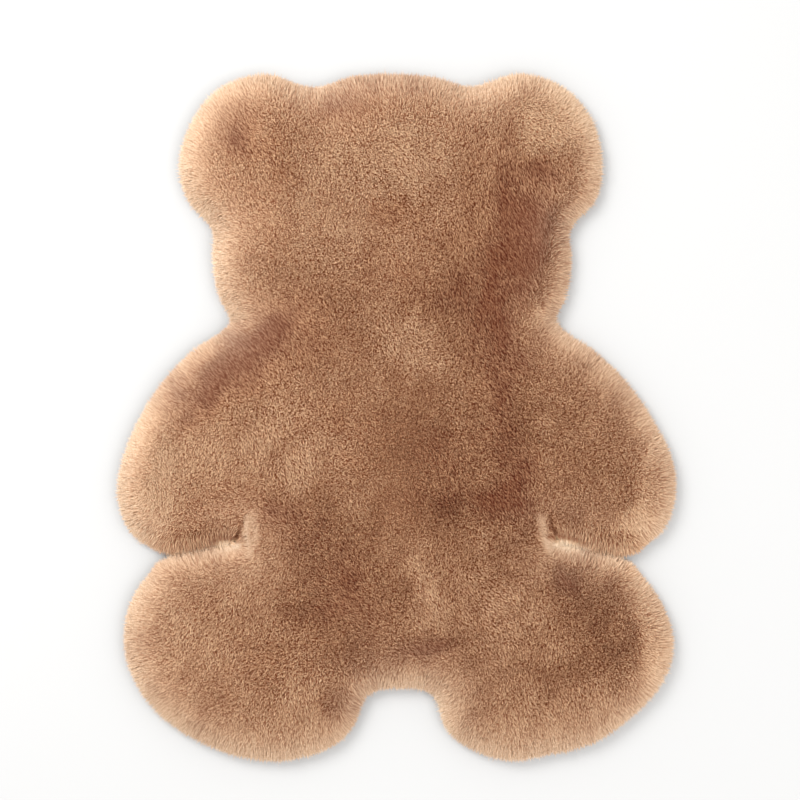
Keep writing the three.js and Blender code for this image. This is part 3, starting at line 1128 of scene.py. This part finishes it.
def shaded_material(name, **plain):
    """A material that wears both groups, and the groups' inputs that are still free."""
    material = bpy.data.materials.new(name)
    material.use_nodes = True
    tree = material.node_tree
    by_nap, by_fibre = (tree.nodes.new("ShaderNodeGroup") for _ in range(2))
    by_nap.node_tree, by_fibre.node_tree = nap_painted_shade_and_light, fibre_shade
    for label, value in RUG_COLOURS_AND_PAINTED_LIGHT.items():
        by_nap.inputs[label].default_value = value
    by_fibre.inputs["Root"].default_value = PAINTED_ROOT_SHADE
    for group in (by_nap, by_fibre):
        tree.links.new(attribute(tree, "rim"), group.inputs["Rim"])
    tree.links.new(by_nap.outputs["Color"], by_fibre.inputs["Color"])
    shader = tree.nodes["Principled BSDF"]
    tree.links.new(by_fibre.outputs["Color"], shader.inputs["Base Color"])
    for label, value in plain.items():
        shader.inputs[label.replace("_", " ")].default_value = value
    return material, by_nap.inputs, by_fibre.inputs


print("colours:", ", ".join(RUG_COLOURS_AND_PAINTED_LIGHT))

# %% Materials of the pile and of the underwool
PILE_SPECKLE, UNDERWOOL_SPECKLE = 420.0, 300.0  # specks to the metre
SPECKLE_RANGE = (0.36, 0.64)  # the noise that is spread over all of the shades
UNDERWOOL_NAP = 0.3


def pile_material():
    material, by_nap, by_fibre = shaded_material(
        "plush pile",
        Roughness=0.8,
        Specular_IOR_Level=0.2,
        Sheen_Weight=0.3,
        Sheen_Roughness=0.5,
        Sheen_Tint=(1.0, 0.78, 0.6, 1),
    )
    tree = material.node_tree
    tree.links.new(attribute(tree, "nap"), by_nap["Nap"])
    tree.links.new(attribute(tree, "reach"), by_fibre["Reach"])
    tree.links.new(attribute(tree, "strand"), by_fibre["Strand"])
    speckle = remap(tree, fine_noise(tree, PILE_SPECKLE), *SPECKLE_RANGE)
    tree.links.new(speckle, by_fibre["Speckle"])
    return material


# The underwool wears the root's painted shade all over, with a little dark nap, as it lies in the
# pile's shade.
def underwool_material():
    material, by_nap, by_fibre = shaded_material(
        "underwool", Roughness=0.9, Specular_IOR_Level=0.1
    )
    by_nap["Nap"].default_value = UNDERWOOL_NAP
    by_fibre["Reach"].default_value = 0.0
    noise = fine_noise(material.node_tree, UNDERWOOL_SPECKLE)
    for label in ("Strand", "Speckle"):
        material.node_tree.links.new(noise, by_fibre[label])
    return material


pile_colour_and_painted_light, underwool = pile_material(), underwool_material()
print("materials:", pile_colour_and_painted_light.name, "and", underwool.name)

# %% [markdown]
# Dressing the solid
#
# Every piece rides on the rug's one body and is of plush. The cloth stands in for the whole
# solid, and the passes of pile belong to it, because a rug that is lifted or rolled bends with
# its pile on.

# %% Put the materials on and attach each piece to the rug's body
for piece in pile:
    piece.data.materials.append(pile_colour_and_painted_light)
    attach(piece, "root")

cloth.data.materials.append(underwool)
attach(cloth, "root")
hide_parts("plush_rug")
print("dressed with", len(pile) + 1, "pieces")

# %% [markdown]
# Floor, light and camera
#
# The rug lies on a plain pale floor under broad soft light, and the camera looks straight down
# through a long lens, so that the outline isn't bent by perspective.

# %% The stage
FLOOR_SIZE = 6.0  # half its side
FLOOR_COLOUR = (0.475, 0.473, 0.469, 1)


def stage():
    bm = bmesh.new()
    bmesh.ops.create_grid(bm, x_segments=1, y_segments=1, size=FLOOR_SIZE)
    mesh = bpy.data.meshes.new("studio_floor")
    bm.to_mesh(mesh)
    bm.free()
    floor = bpy.data.objects.new("studio_floor", mesh)
    bpy.context.collection.objects.link(floor)
    material = bpy.data.materials.new("studio floor")
    material.use_nodes = True
    shader = material.node_tree.nodes["Principled BSDF"]
    shader.inputs["Base Color"].default_value = FLOOR_COLOUR
    shader.inputs["Roughness"].default_value = 0.9
    mesh.materials.append(material)


stage()
print("floor", 2 * FLOOR_SIZE, "m wide")

# %% The lights
SOFTBOXES = (
    # name, place, size and power
    ("key_softbox", (-1.6, 1.5, 2.5), 1.8, 88),
    ("fill_softbox", (1.6, -0.8, 2.8), 2.4, 40),
)
SKY_STRENGTH = 1.28


def softbox(name, place, size, power):
    """A round lamp that looks at the middle of the rug."""
    light = bpy.data.lights.new(name, "AREA")
    light.shape = "DISK"
    light.size = size
    light.energy = power
    lamp = bpy.data.objects.new(name, light)
    lamp.location = place
    lamp.rotation_euler = (-Vector(place)).to_track_quat("-Z", "Y").to_euler()
    bpy.context.collection.objects.link(lamp)


def white_sky():
    world = bpy.data.worlds.new("studio")
    world.use_nodes = True
    background = world.node_tree.nodes["Background"]
    background.inputs["Color"].default_value = (1, 1, 1, 1)
    background.inputs["Strength"].default_value = SKY_STRENGTH
    bpy.context.scene.world = world
    bpy.context.scene.view_settings.view_transform = "Standard"


for row in SOFTBOXES:
    softbox(*row)
white_sky()
print("lights:", len(SOFTBOXES), "and the sky")

# %% The camera
FOCAL = 85.0
SENSOR = 36.0
VIEW_WIDTH = 1.159  # metres of floor across the image
VIEW_CENTRE = (0.0048, 0.0252)  # the place under the camera


def camera():
    lens = bpy.data.cameras.new("camera")
    lens.lens = FOCAL
    lens.sensor_width = SENSOR
    view = bpy.data.objects.new("camera", lens)
    distance = VIEW_WIDTH * FOCAL / SENSOR
    view.location = (*VIEW_CENTRE, PILE_HEIGHT / 2 + distance)
    bpy.context.collection.objects.link(view)
    bpy.context.scene.camera = view
    return distance


print("camera", round(camera(), 2), "m above the rug")
